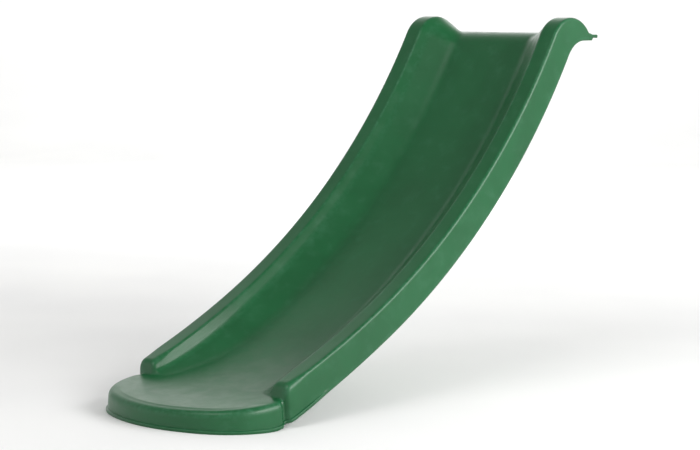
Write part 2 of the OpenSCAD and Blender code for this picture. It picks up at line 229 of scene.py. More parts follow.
def turn(r, bend, top_z, end_y, u):
    """Turn from the upper arc into a level stretch that ends at end_y, by share of its length."""
    start = turn_slope(r, bend, top_z)
    c = (ARC2[0] + (r + bend) * sind(start), top_z - bend)
    arc_len = bend * math.radians(start)
    at = u * (arc_len + end_y - c[0])
    bent = crest(c, bend, start - np.degrees(np.minimum(at, arc_len) / bend))
    flat = np.stack([c[0] + at - arc_len, np.full_like(at, top_z), np.zeros_like(at)], -1)
    return np.where((at < arc_len)[:, None], bent, flat)


def corner(a, b, c, length, n):
    """Rounded corner at b between a and c, as a parabola from length before it to length after it."""
    ab, cb = a - b, c - b
    la = np.linalg.norm(ab, axis=-1, keepdims=True)
    lc = np.linalg.norm(cb, axis=-1, keepdims=True)
    cut = np.minimum(np.asarray(length, float).reshape(-1, 1), 0.42 * np.minimum(la, lc))
    p, q = b + ab / la * cut, b + cb / lc * cut
    u = np.linspace(0, 1, n + 1)[None, :, None]
    return (1 - u) ** 2 * p[:, None] + 2 * u * (1 - u) * b[:, None] + u * u * q[:, None]


def between(a, b, shares):
    """Points of every row at the given shares of the way from a to b."""
    u = np.asarray(shares, float)[None, :, None]
    return a[:, None] * (1 - u) + b[:, None] * u


def shifted(a, b, c, t):
    """Corner b moved to the right of the way a to c, so both walls stay t thick."""
    p = (b - a) / np.linalg.norm(b - a, axis=-1, keepdims=True)
    q = (c - b) / np.linalg.norm(c - b, axis=-1, keepdims=True)
    m = np.stack([-p[:, 1], p[:, 0]], -1)
    n = np.stack([-q[:, 1], q[:, 0]], -1)
    return b + (m + n) / (1 + np.sum(m * n, -1, keepdims=True)) * t


# Points taken on each stretch of the half section, from the bed's middle out to the base
BED_N, COVE_N, WALL_N, SHOULDER_N, INNER_N, RAIL_N, EDGE_N, SIDE_N, BEAD_N = 14, 10, 4, 8, 6, 4, 7, 12, 5
EDGE_COL = BED_N + (COVE_N + 1) + WALL_N + (SHOULDER_N + 1) + (INNER_N + 1) + RAIL_N
COLS_N = EDGE_COL + (EDGE_N + 1) + SIDE_N + BEAD_N + 1


def half_section(d, w, edge_x, shoulder, edge_l, bead, t, inner_l=INNER_EDGE_L):
    """Half of the cross-section as [x, depth below the rail top] for every row at once.

    It is a line of six corners, each rounded by a parabola: the bed's middle, the cove, the soft
    shoulder of the inner wall, the rail's inner edge, its outer edge, and the base of the wall."""
    one = np.ones(len(d))
    low = 1 - np.minimum(1, d / BED_DEPTH)
    soft = mix(1, LOW_SOFT, low)
    thin = w < LIP_T + 2
    sx = mix(SHOULDER_X, RAIL_INNER - INNER_EDGE_L - 1, low)
    bx = np.minimum(mix(BED_HALF, RAIL_INNER, low), sx - (COVE_L + SHOULDER_L) * soft - WALL_FLAT)
    ends = [(0 * one, d), (bx, d), (sx, d * shoulder), (RAIL_INNER * one, 0 * one), (edge_x, 0 * one),
            (edge_x + lean(w), w)]
    raw = [np.stack([x * one, y * one], -1) for x, y in ends]
    if t:
        p = [raw[0] + [0, t]] + [shifted(raw[i - 1], raw[i], raw[i + 1], t) for i in range(1, 5)]
        p.append(raw[5] - [t, 0])
    else:
        p = raw
    base = p[5] - [0, SKIN_T]
    foot_x = base[:, 0] - (base[:, 0] - p[4][:, 0]) * (BEAD_H - SKIN_T) / (w - p[4][:, 1])
    foot = np.stack([foot_x, w - BEAD_H], -1)
    out = np.stack([(0 if t else BEAD_W) * bead, 0 * one], -1)
    outer_end = np.where(thin[:, None], base, p[5])
    c1 = corner(p[0], p[1], p[2], COVE_L * soft, COVE_N)
    c2 = corner(p[1], p[2], p[3], SHOULDER_L * soft, SHOULDER_N)
    c3 = corner(p[2], p[3], p[4], inner_l * one, INNER_N)
    c4 = corner(p[3], p[4], outer_end, edge_l, EDGE_N)
    bed = between(p[0], c1[:, 0], np.linspace(0, 1, BED_N + 1)[:-1])
    wall = between(c1[:, -1], c2[:, 0], np.linspace(0, 1, WALL_N + 2)[1:-1])
    rail = between(c3[:, -1], c4[:, 0], np.linspace(0, 1, RAIL_N + 2)[1:-1])
    # Outside wall, then the bead: it swells out over a quarter circle and drops to the base
    side_a = between(c4[:, -1], np.where(thin[:, None], mix(c4[:, -1], base, 0.9), foot),
                     np.linspace(0, 1, SIDE_N + 1)[1:])
    swell = np.linspace(0, 1, BEAD_N)[None, :, None]
    bulge = foot[:, None] + out[:, None] * np.sqrt(np.clip(1 - (1 - swell) ** 2, 0, 1)) \
        + (base - foot)[:, None] * 0.45 * swell
    flat = between(mix(c4[:, -1], base, 0.9), base, np.linspace(0, 0.8, BEAD_N))
    side_b = np.where(thin[:, None, None], flat, bulge)
    last = (base + out)[:, None]
    return np.concatenate([bed, c1, wall, c2, c3, rail, c4, side_a, side_b, last], 1)


def lip_top(y):
    """Height of the lip's top: level at the landing, then it eases down to the flange."""
    return mix(LIP_Z, FLANGE_Z, ease((y - LAND_Y) / (FLANGE_Y - LAND_Y)))


def lip_under(y):
    """Height of the lip's underside: on the platform, then it eases up under the flange."""
    return PLATFORM_H + FLANGE_RISE * ease((y - FLANGE_Y) / FLANGE_RISE + 1)


# ---------------------------------------------------------------- stations from the foot to the lip
def nose_profile():
    """Side view of a rail's end as [distance from the deck's back, share of the rail's height].

    A level line, a steep front and the rail's top, with a hollow corner and a round one."""
    h = 27.0
    pts = [np.array([p], float) for p in ((-8, 0), (0.5, 0), (4.5, h), (NOSE_LEN + 5, h))]
    low = corner(pts[0], pts[1], pts[2], 6.0, 7)[0]
    top = corner(pts[1], pts[2], pts[3], 18.0, 14)[0]
    rise = between(low[-1:], top[:1], np.linspace(0, 1, 5)[1:-1])[0]
    prof = np.concatenate([low, rise, top, between(top[-1:], pts[3], [0.4, 0.75])[0]])
    return prof[:, 0], prof[:, 1] / h


def lines():
    """Rail, bed and underside lines of every row, from the foot to the lip.

    With them come the rail's share, the edge's place, the shoulder's depth, the bead and the channels."""
    rows = []

    def add(rail, bed, under, share, edge_x, shoulder, bead, channel):
        n = len(rail)
        full = [np.broadcast_to(np.asarray(v, float), (n,)) for v in (share, edge_x, shoulder, bead, channel)]
        rows.append([rail, bed, under] + full)

    # Deck in front of the rails
    neck = HALF_W - NECK_INSET
    s, share = nose_profile()
    u = np.linspace(0, 1, 9)[:-1]
    y = mix(CORNER_C[1], DECK_BACK_Y + s[0], u)
    top = bed_foot(y)
    along = np.clip((y - CORNER_C[1]) / (DECK_BACK_Y - CORNER_C[1]), 0, 1)
    add(top, top, under_foot(y), 0, mix(DECK_HALF, neck, ease(along)), SHOULDERS[0], 1, 0)

    # Rail ends
    y = DECK_BACK_Y + s
    back = np.clip(s / NOSE_LEN, 0, 1)
    here = bed_foot(y)
    full = valley(ARC1, LOWER_R, np.array([FOOT_SLOPE]))[0]
    z = here[:, 1] + (full[1] - here[:, 1] - (full[0] - y) * sind(FOOT_SLOPE)) * share
    rail = np.stack([y, z, np.full_like(y, FOOT_SLOPE)], -1)
    add(rail, bed_foot(y + back * BED_DEPTH * sind(FOOT_SLOPE)), under_foot(y + back * WALL_H * sind(FOOT_SLOPE)),
        share, mix(neck, HALF_W, share), SHOULDERS[0], 1, 0)

    # Lower arc
    u = np.linspace(0, 1, 41)
    a = mix(FOOT_SLOPE, MID_SLOPE, u)
    add(valley(ARC1, LOWER_R, a), bed_foot(ARC1[0] + (LOWER_R + BED_DEPTH) * sind(a)),
        under_foot(ARC1[0] + (LOWER_R + WALL_H) * sind(a)), 1, HALF_W, mix(SHOULDERS[0], SHOULDERS[1], u),
        1 - ease(u * 3), ease((u - 0.35) * 3))

    # Upper arc
    u = np.linspace(0, 1, 49)[1:]
    r2 = UPPER_R + BED_DEPTH
    add(valley(ARC2, UPPER_R, mix(MID_SLOPE, TOP_SLOPE, u)),
        valley(ARC2, r2, mix(MID_SLOPE, turn_slope(r2, LIP_R, LIP_Z), u)),
        valley(ARC2, UPPER_R + WALL_H, mix(MID_SLOPE, HOOK_SLOPE, u)), 1, HALF_W,
        mix(SHOULDERS[1], SHOULDERS[2], u), 0, ease((1 - u) * 7))

    # Crown and landing
    u = np.linspace(0, 1, 53)[1:]
    crown_len = CROWN_R * math.radians(TOP_SLOPE + LAND_ANGLE)
    at = u * (crown_len + LAND_R * math.radians(LAND_ANGLE))
    over = crest((CROWN_Y, CROWN_Z - CROWN_R), CROWN_R, TOP_SLOPE - np.degrees(np.minimum(at, crown_len) / CROWN_R))
    land = valley((LAND_Y, LIP_Z + LAND_R), LAND_R, -LAND_ANGLE + np.degrees(np.maximum(at - crown_len, 0) / LAND_R))
    add(np.where((at < crown_len)[:, None], over, land), turn(r2, LIP_R, LIP_Z, LAND_Y, u),
        turn(UPPER_R + WALL_H, HOOK_R, PLATFORM_H, LAND_Y, u), 1, HALF_W, SHOULDERS[2], 0, 0)

    # Lip and flange
    u = np.linspace(0, 1, 15)[1:]
    y = mix(LAND_Y, BACK_Y, u)
    top = np.stack([y, lip_top(y), 0 * y], -1)
    add(top, top, np.stack([y, lip_under(y), 0 * y], -1), 1, HALF_W, SHOULDERS[2], 0, 0)
    return [np.concatenate([r[i] for r in rows]) for i in range(8)]


ROW_RAIL, ROW_BED, ROW_UNDER, ROW_SHARE, ROW_EDGE, ROW_SHOULDER, ROW_BEAD, ROW_CHANNEL = lines()
# The rail's edges are rounder at its foot and reach their usual width some way up
NOSE_ROUND = ease((ROW_RAIL[:, 0] - DECK_BACK_Y) / NOSE_FADE)


def half_rows(t):
    """Upper skin, half of every row: the section laid from the rail's top down to the bed and the base."""
    a, b, e = ROW_RAIL[:, :2], ROW_BED[:, :2], ROW_UNDER[:, :2]
    d, w = np.linalg.norm(b - a, axis=1), np.linalg.norm(e - a, axis=1)
    down = np.stack([sind(ROW_BED[:, 2]), -cosd(ROW_BED[:, 2])], -1)
    up = np.stack([-sind(ROW_UNDER[:, 2]), cosd(ROW_UNDER[:, 2])], -1)
    sec = half_section(d, w, ROW_EDGE, ROW_SHOULDER, mix(DECK_EDGE_L, OUTER_EDGE_L, NOSE_ROUND), ROW_BEAD, t,
                       mix(NOSE_INNER_L, INNER_EDGE_L, NOSE_ROUND))
    x, depth = sec[..., 0], sec[..., 1]
    safe = np.maximum(d, 0.01)[:, None]
    share = np.where(d[:, None] < 0.01, 0, np.minimum(depth, d[:, None]) / safe)
    inside = a[:, None] + share[..., None] * (b - a)[:, None] \
        + np.maximum(depth - d[:, None], 0)[..., None] * down[:, None]
    outside = a[:, None] + (depth / w[:, None])[..., None] * (e - a)[:, None]
    outside[:, -1] = e + SKIN_T * up
    q = np.where((np.arange(sec.shape[1]) < EDGE_COL)[None, :, None], inside, outside)
    return np.concatenate([x[..., None], q], -1)


FAN_ANGLES = np.concatenate([np.linspace(90, CORNER_ANGLE, 17)[1:], np.linspace(CORNER_ANGLE, -CORNER_ANGLE, 25)[1:],
                             np.linspace(-CORNER_ANGLE, -90, 17)[1:-1]])


def fan_rows(t):
    """Upper skin across the front of the foot: the deck's section swung round the plan outline."""
    ang = FAN_ANGLES
    swung = np.abs(ang)
    out = np.stack([sind(swung), -cosd(swung)], -1)
    rim = np.where((swung > CORNER_ANGLE)[:, None], CORNER_C + CORNER_R * out, FRONT_C + FRONT_R * out)
    top_z = bed_foot(rim[:, 1])[:, 1]
    ground = under_foot(rim[:, 1])
    one = np.ones(len(ang))
    sec = half_section(0 * one, top_z - ground[:, 1], DECK_HALF * one, SHOULDERS[0] * one, DECK_EDGE_L * one, one, t)
    inner = sec[:, EDGE_COL, 0]
    start = rim + (inner - DECK_HALF)[:, None] * out
    hub = np.array([0.0, CORNER_C[1]])
    px = sec[..., 0]
    near = hub + (px / inner[:, None])[..., None] * (start - hub)[:, None]
    far = rim[:, None] + (px - DECK_HALF)[..., None] * out[:, None]
    inside = (np.arange(sec.shape[1]) < EDGE_COL)[None, :]
    xy = np.where(inside[..., None], near, far)
    z = np.where(inside, bed_foot(xy[..., 1])[..., 1] - t / cosd(DECK_SLOPE), top_z[:, None] - sec[..., 1])
    at_rim = under_foot(xy[:, -1, 1])
    z[:, -1] = at_rim[:, 1] + SKIN_T / cosd(at_rim[:, 2])
    sign = np.where(ang < 0, -1, 1)[:, None]
    return np.stack([xy[..., 0] * sign, xy[..., 1], z], -1)


UNDER_N = 58
BASE_X = half_rows(0)[:, -1, 0]


def under_rise(x, channel):
    """Height of the underside's channels at x: flat floors with sides that ease up and down."""
    middle = ease((CHANNEL_HALF - np.abs(x)) / CHANNEL_SIDE)
    outer = ease((CHANNEL_HALF - np.abs(np.abs(x) - (BED_HALF - CHANNEL_IN))) / CHANNEL_SIDE)
    return (BED_T - 2 * SKIN_T - CHANNEL_GAP) * channel * np.maximum(middle, outer)


def under_cols(w, t):
    """Places across the underside: even steps, then a small step in at the lower edge of the rim."""
    x = np.linspace(0, 1, UNDER_N)[None, :] * w[:, None]
    if t == 0:
        x = np.minimum(x, w[:, None] - 1)
    return x


def under_rows(t):
    """Lower skin, half of every row: the underside line pushed up by t and by the channels."""
    up = np.stack([-sind(ROW_UNDER[:, 2]), cosd(ROW_UNDER[:, 2])], -1)
    x = under_cols(BASE_X, t)
    q = ROW_UNDER[:, None, :2] + (t + under_rise(x, ROW_CHANNEL[:, None]))[..., None] * up[:, None]
    return np.concatenate([x[..., None], q], -1)


def under_fan(t):
    """Lower skin across the front of the foot: straight spokes from the middle to the rim."""
    edge = fan_rows(0)[:, -1, :2]
    hub = np.array([0.0, CORNER_C[1]])
    x = under_cols(np.full(len(edge), BASE_X[0]), t) / BASE_X[0]
    xy = hub + x[..., None] * (edge - hub)[:, None]
    e = under_foot(xy[..., 1])
    return np.stack([xy[..., 0], xy[..., 1], e[..., 1] + t / cosd(e[..., 2])], -1)


# ---------------------------------------------------------------- mesh makers
def placed(name, verts, faces):
    """New object at the origin from corner places in metres and faces."""
    me = bpy.data.meshes.new(name)
    me.from_pydata(verts.tolist(), [], faces)
    me.update()
    ob = bpy.data.objects.new(name, me)
    bpy.context.collection.objects.link(ob)
    return ob


def grid_quads(g):
    """Four-sided faces between neighbouring rows and columns of a grid of corner numbers."""
    return np.stack([g[:-1, :-1], g[:-1, 1:], g[1:, 1:], g[1:, :-1]], -1).reshape(-1, 4)


def face_outwards(ob):
    """Merges points that lie on each other and turns every face of a closed skin outwards."""
    bm = bmesh.new()
    bm.from_mesh(ob.data)
    bmesh.ops.remove_doubles(bm, verts=bm.verts, dist=MERGE_DIST)
    bmesh.ops.recalc_face_normals(bm, faces=bm.faces)
    bm.to_mesh(ob.data)
    bm.free()


def sheet(name, top_rows, top_fan, low_rows, low_fan, tags=None):
    """Closed sheet between two sets of rows, mirrored about the middle, with the fan closing its front."""
    rows, cols1, _ = top_rows.shape
    cols = cols1 - 1
    fans = len(top_fan)
    full = 2 * cols + 1
    layer = rows * full + fans * cols

    def points(r, f):
        left = r[:, :0:-1] * [-1, 1, 1]
        return np.concatenate([np.concatenate([left, r], 1).reshape(-1, 3), f[:, 1:].reshape(-1, 3)])

    verts = np.concatenate([points(top_rows, top_fan), points(low_rows, low_fan)]) * MM
    grid = np.arange(rows * full).reshape(rows, full)
    fan = np.empty((fans + 2, cols + 1), int)
    fan[1:-1, 1:] = rows * full + np.arange(fans * cols).reshape(fans, cols)
    fan[:, 0] = grid[0, cols]
    fan[0] = grid[0, cols:]
    fan[-1] = grid[0, cols::-1]

    main = grid_quads(grid)
    swept = grid_quads(fan[:, 1:])[:, ::-1]
    hub = np.stack([fan[:-1, 0], fan[1:, 1], fan[:-1, 1]], -1)
    rim = np.concatenate([grid[:, 0], grid[-1, 1:], grid[-2::-1, -1], fan[1:-1, -1]])
    nxt = np.roll(rim, -1)
    sides = np.stack([rim, nxt, nxt + layer, rim + layer], -1)
    faces = [main, swept, hub, main[:, ::-1] + layer, swept[:, ::-1] + layer, hub[:, ::-1] + layer, sides[:, ::-1]]
    ob = placed(name, verts, [f for block in faces for f in block.tolist()])
    for tag, (row_w, fan_w) in (tags or {}).items():
        half = np.concatenate([row_w[:, :0:-1], row_w], 1).reshape(-1)
        one = np.concatenate([half, fan_w[:, 1:].reshape(-1)])
        ob.data.attributes.new(tag, "FLOAT", "POINT").data.foreach_set("value", np.tile(one, 2).astype(np.float32))
    face_outwards(ob)
    return ob


def turned(name, profile, places, n=72):
    """Closed body of revolution: the profile [radius, z] swung round Z, at each place [x, y]."""
    prof = np.asarray(profile, float)
    m = len(prof)
    ang = np.linspace(0, 2 * np.pi, n, endpoint=False)
    ring = np.stack([prof[:, :1] * np.cos(ang), prof[:, :1] * np.sin(ang), np.repeat(prof[:, 1:], n, 1)], -1)
    verts, faces = [], []
    for k, (x, y) in enumerate(places):
        base = k * (m * n + 2)
        ends = np.array([[0, 0, prof[0, 1]], [0, 0, prof[-1, 1]]])
        verts.append((np.concatenate([ring.reshape(-1, 3), ends]) + [x, y, 0]) * MM)
        g = np.arange(m * n).reshape(m, n)
        g = np.concatenate([g, g[:, :1]], 1) + base
        faces += grid_quads(g).tolist()
        faces += np.stack([g[0, 1:], g[0, :-1], np.full(n, base + m * n)], -1).tolist()
        faces += np.stack([g[-1, :-1], g[-1, 1:], np.full(n, base + m * n + 1)], -1).tolist()
    return placed(name, np.concatenate(verts), faces)


def smooth(ob, angle):
    """Shades the piece smooth, with edges sharper than the angle in degrees left sharp."""
    ob.data.shade_smooth()
    ob.data.set_sharp_from_angle(angle=math.radians(angle))


def cut(ob, cutter, how):
    """Applies a Boolean with the cutter and removes the cutter."""
    mod = ob.modifiers.new("cut", "BOOLEAN")
    mod.operation = how
    mod.object = cutter
    mod.solver = "EXACT"
    dg = bpy.context.evaluated_depsgraph_get()
    made = bpy.data.meshes.new_from_object(ob.evaluated_get(dg))
    ob.modifiers.clear()
    ob.data = made
    bpy.data.objects.remove(cutter)


def ring_profile(r, z0, z1, soft=0.0):
    """Straight side at radius r, with a quarter circle of radius soft at its top if one is given."""
    if not soft:
        return [(r, z0), (r, z1)]
    a = np.linspace(0, np.pi / 2, 6)
    return [(r, z0)] + [(r - soft + soft * math.cos(t), z1 - soft + soft * math.sin(t)) for t in a]


# ---------------------------------------------------------------- pieces
def column_tags():
    """How much each column is lightened along the rounded edges, the shoulder and the bead, as rubbed wear and painted
    highlight, and how much of the bed it is.
    """
    edge, bed = np.zeros(COLS_N), np.zeros(COLS_N)
    at = BED_N
    bed[:at + COVE_N // 2] = 1
    at += COVE_N + 1 + WALL_N
    # The soft shoulder's lighter band is a painted highlight, not wear.
    edge[at:at + SHOULDER_N + 1] = 0.45 * np.sin(np.linspace(0, np.pi, SHOULDER_N + 1))
    at += SHOULDER_N + 1
    edge[at:at + INNER_N + 1] = np.sin(np.linspace(0, np.pi, INNER_N + 1))
    at += INNER_N + 1 + RAIL_N
    edge[at:at + EDGE_N + 1] = np.sin(np.linspace(0, np.pi, EDGE_N + 1))
    edge[-BEAD_N - 1:-1] = 0.6
    return edge, bed


edge_wear_highlight_w, bed_w = column_tags()
rows_n, fans_n = len(ROW_RAIL), len(FAN_ANGLES)
raised = ROW_SHARE[:, None]
fan_edge_wear_highlight = edge_wear_highlight_w.copy()
fan_edge_wear_highlight[:EDGE_COL] = 0
# The edge tag carries rubbed wear together with painted highlight along the edges, the shoulder and the bead.
tags = {
    "edge": (np.where((np.arange(len(edge_wear_highlight_w)) < EDGE_COL)[None, :], edge_wear_highlight_w * raised, edge_wear_highlight_w[None, :] + 0 * raised),
             np.tile(fan_edge_wear_highlight, (fans_n, 1))),
    "bed": (np.tile(bed_w, (rows_n, 1)), np.tile(bed_w, (fans_n, 1))),
}
shell = sheet("slide_upper_shell", half_rows(0), fan_rows(0), half_rows(SKIN_T), fan_rows(SKIN_T), tags)
cut(shell, turned("cup", ring_profile(RECESS_D / 2 + SKIN_T, PLATFORM_H + SKIN_T, LIP_Z - 1), SCREWS), "UNION")
cut(shell, turned("recess", ring_profile(RECESS_D / 2, RECESS_FLOOR, RECESS_FLOOR + LIP_T), SCREWS), "DIFFERENCE")
cut(shell, turned("hole", ring_profile(HOLE_R, PLATFORM_H, RECESS_FLOOR + 1), SCREWS), "DIFFERENCE")
face_outwards(shell)
smooth(shell, SKIN_SHARP)

under = sheet("slide_under_shell", under_rows(SKIN_T), under_fan(SKIN_T), under_rows(0), under_fan(0))
cut(under, turned("hole", ring_profile(HOLE_R, PLATFORM_H - 5, PLATFORM_H + 8), SCREWS), "DIFFERENCE")
face_outwards(under)
smooth(under, SKIN_SHARP)

# Caps: a rounded rim and a top that crowns by a quarter of a millimetre
CAP_R = RECESS_D / 2 - FIT_GAP
CAP_CROWN = 0.25
CAP_SOFT = 0.6
cap_edge_z = LIP_Z - 0.12
inward = np.linspace(0.1, 0.95, 9)
cap_top = np.stack([(CAP_R - CAP_SOFT) * (1 - inward), cap_edge_z + CAP_CROWN * (1 - (1 - inward) ** 2)], -1)
caps = turned("recess_caps", [(CAP_R - 0.3, LIP_Z - CAP_T), (CAP_R, LIP_Z - CAP_T + 0.3)]
              + ring_profile(CAP_R, LIP_Z - 0.8, cap_edge_z, CAP_SOFT)[1:] + cap_top.tolist(), SCREWS)
smooth(caps, PRESSED_SHARP)

# Screws: pan head with a domed top, and a shank with a rolled thread, a plain neck and a point
THREAD_PITCH = 2.4
THREAD_DEPTH = 0.8
NECK_CUT = 0.4
HEAD_SIDE = 0.5
tip_z = SEAT_Z - SCREW_LEN
shank_r = SCREW_D / 2
neck_r = shank_r - NECK_CUT
swing = np.linspace(0, 1.45, 12)
head = np.stack([SCREW_D * np.cos(swing) ** 0.6, SEAT_Z + HEAD_SIDE + (HEAD_T - HEAD_SIDE) * np.sin(swing)], -1)
at_z = np.arange(tip_z + 8, PLATFORM_H - 1, THREAD_PITCH / 8)
groove = (0.5 + 0.5 * np.cos(2 * math.pi * at_z / THREAD_PITCH)) ** 0.6
thread = np.stack([shank_r - THREAD_DEPTH * groove, at_z], -1)
point = [(0.15, tip_z), (1.1, tip_z + 3), (2.0, tip_z + 6)]
neck = [(neck_r, PLATFORM_H), (neck_r, SEAT_Z), (SCREW_D, SEAT_Z)]
screws = turned("fixing_screw_pair", np.concatenate([point, thread, neck, head]), SCREWS, 48)
smooth(screws, SCREW_SHARP)

# Cross recess in each head: two upright blocks, one turned a quarter
CROSS_LONG, CROSS_WIDE, CROSS_FLOOR, CROSS_TOP = 4.6, 1.1, SEAT_Z + 1.2, SEAT_Z + 5
BLOCK_FACES = [(0, 2, 3, 1), (4, 5, 7, 6), (0, 1, 5, 4), (2, 6, 7, 3), (0, 4, 6, 2), (1, 3, 7, 5)]
for x, y in SCREWS:
    for wide, deep in ((CROSS_WIDE, CROSS_LONG), (CROSS_LONG, CROSS_WIDE)):
        z, v, u = np.meshgrid([CROSS_FLOOR, CROSS_TOP], [y - deep / 2, y + deep / 2], [x - wide / 2, x + wide / 2],
                              indexing="ij")
        cut(screws, placed("drive", np.stack([u, v, z], -1).reshape(-1, 3) * MM, BLOCK_FACES), "DIFFERENCE")
smooth(screws, SCREW_SHARP)

# Washers: a flat ring with a pressed top edge
PRESS = 0.25
washers = turned("screw_washer_pair",
                 [(HOLE_R, RECESS_FLOOR), (CAP_R - 0.15, RECESS_FLOOR), (CAP_R, RECESS_FLOOR + 0.15),
                  (CAP_R, SEAT_Z - PRESS), (CAP_R - PRESS, SEAT_Z), (HOLE_R, SEAT_Z)], SCREWS)
cut(washers, turned("bore", ring_profile(HOLE_R, RECESS_FLOOR - 1, SEAT_Z + 1), SCREWS), "DIFFERENCE")
smooth(washers, PRESSED_SHARP)


# ---------------------------------------------------------------- materials
# Numbers of the node outputs that are read
OBJECT_PLACE, ATTRIBUTE_VALUE, MIXED_COLOUR, UPWARD = 3, 2, 2, 2


class Nodes:
    """Short calls for building a node tree."""

    def __init__(self, tree):
        self.tree = tree
        tree.nodes.clear()

    def add(self, kind, out_number=0, **values):
        """Adds a node and gives one output. in_NAME or in_NUMBER fills a socket, any other name a property."""
        node = self.tree.nodes.new(kind)
        for key, value in values.items():
            if key.startswith("in_"):
                key = key[3:]
                sock = node.inputs[int(key)] if key.isdigit() else node.inputs[key.replace("_", " ")]
                if isinstance(value, bpy.types.NodeSocket):
                    self.tree.links.new(value, sock)
                else:
                    sock.default_value = value
            else:
                setattr(node, key, value)
        return node.outputs[out_number]

    def link_out(self, socket, kind="ShaderNodeOutputMaterial"):
        """Joins a shader to the tree's output."""
        self.tree.links.new(socket, self.tree.nodes.new(kind).inputs["Surface"])

    def object_place(self):
        """Place of the shaded point in the piece's own frame."""
        return self.add("ShaderNodeTexCoord", OBJECT_PLACE)

    def tag(self, name):
        """Value that the mesh carries under a name."""
        return self.add("ShaderNodeAttribute", ATTRIBUTE_VALUE, attribute_name=name)

    def times(self, a, b, clamp=False):
        """Product of two values."""
        return self.math("MULTIPLY", a, b, clamp)

    def math(self, op, a, b=0.0, clamp=False):
        return self.add("ShaderNodeMath", operation=op, use_clamp=clamp, in_0=a, in_1=b)

    def noise(self, vec, scale, detail=3.0, rough=0.5, warp=0.0):
        return self.add("ShaderNodeTexNoise", in_Vector=vec, in_Scale=scale, in_Detail=detail, in_Roughness=rough,
                        in_Distortion=warp)

    def ramp(self, value, lo, hi, to_lo=0.0, to_hi=1.0):
        return self.add("ShaderNodeMapRange", interpolation_type="SMOOTHSTEP", in_Value=value, in_From_Min=lo,
                        in_From_Max=hi, in_To_Min=to_lo, in_To_Max=to_hi)

    def blend(self, share, a, b):
        return self.add("ShaderNodeMix", MIXED_COLOUR, data_type="RGBA", in_0=share, in_6=a, in_7=b)

    def stretched(self, vec, scale):
        return self.add("ShaderNodeMapping", in_Vector=vec, in_Scale=scale)

    def bump(self, height, distance, strength=1.0, normal=None):
        more = {"in_Normal": normal} if normal is not None else {}
        return self.add("ShaderNodeBump", in_Height=height, in_Distance=distance, in_Strength=strength, **more)


def new_material(name):
    """Empty material with its node tree."""
    mat = bpy.data.materials.new(name)
    mat.use_nodes = True
    return mat, Nodes(mat.node_tree)


def moulded_plastic(name, base, deep, worn_and_highlight, marks):
    """Satin polyethylene: cloudy colour, a fine moulding grain, long soft waves, and edges lightened as rubbed wear
    and painted highlight.

    With marks it also has the fine rubs along the bed that sliding leaves."""
    mat, n = new_material(name)
    co = n.object_place()
    cloud = n.noise(co, 9.0, 4.0, 0.55, 0.4)
    patch = n.noise(co, 38.0, 3.0, 0.6)
    grain = n.noise(co, 1500.0, 2.0, 0.6)
    pits = n.add("ShaderNodeTexVoronoi", in_Vector=co, in_Scale=620.0)
    wave = n.noise(co, 16.0, 2.0, 0.4)
    rubs = n.noise(n.stretched(co, (420.0, 9.0, 12.0)), 1.0, 4.0, 0.65, 0.2)
    colour = n.blend(n.ramp(cloud, 0.32, 0.7), base, deep)
    colour = n.blend(n.times(n.ramp(patch, 0.5, 0.8), 0.18), colour, worn_and_highlight)
    # Edges lightened by the edge tag: partly rubbed wear, partly painted highlight.
    edge = n.tag("edge")
    rubbed_and_highlit_edges = n.times(edge, n.ramp(n.noise(co, 120.0, 4.0, 0.7), 0.38, 0.66), True)
    colour = n.blend(n.times(rubbed_and_highlit_edges, 0.34), colour, worn_and_highlight)
    rough = n.math("ADD", n.ramp(patch, 0.3, 0.75, 0.30, 0.38), n.times(rubbed_and_highlit_edges, 0.07))
    height = n.math("ADD", n.times(grain, 0.6), n.times(pits, 0.25))
    if marks:
        bed = n.tag("bed")
        rub_lines = n.times(n.ramp(rubs, 0.56, 0.74), n.times(bed, n.ramp(cloud, 0.4, 0.62)), True)
        colour = n.blend(n.times(rub_lines, 0.16), colour, worn_and_highlight)
        rough = n.math("ADD", rough, n.times(rub_lines, 0.10))
        height = n.math("SUBTRACT", height, n.times(rub_lines, 0.5))
    normal = n.bump(height, 0.00012, 0.55, n.bump(wave, 0.0008, 0.35))
    shader = n.add("ShaderNodeBsdfPrincipled", in_Base_Color=colour, in_Roughness=rough, in_Normal=normal,
                   in_IOR=1.45, in_Specular_IOR_Level=0.46)
    n.link_out(shader)
    return mat


def zinc_steel(name):
    """Zinc-plated steel: pale spangle in the colour and the gloss, fine turning marks, darker stains at random."""
    mat, n = new_material(name)
    co = n.object_place()
    spangle = n.add("ShaderNodeTexVoronoi", in_Vector=co, in_Scale=700.0)
    stain = n.noise(co, 260.0, 4.0, 0.6)
    turning = n.noise(n.stretched(co, (60.0, 60.0, 5200.0)), 1.0, 2.0, 0.5)
    colour = n.blend(n.ramp(spangle, 0.2, 0.8), (0.60, 0.61, 0.60, 1), (0.50, 0.51, 0.53, 1))
    colour = n.blend(n.ramp(stain, 0.55, 0.8, 0.0, 0.5), colour, (0.36, 0.34, 0.30, 1))
    rough = n.ramp(stain, 0.3, 0.8, 0.24, 0.46)
    normal = n.bump(n.math("ADD", turning, n.times(spangle, 0.4)), 0.00005, 0.5)
    shader = n.add("ShaderNodeBsdfPrincipled", in_Base_Color=colour, in_Roughness=rough, in_Normal=normal,
                   in_Metallic=1.0)
    n.link_out(shader)
    return mat


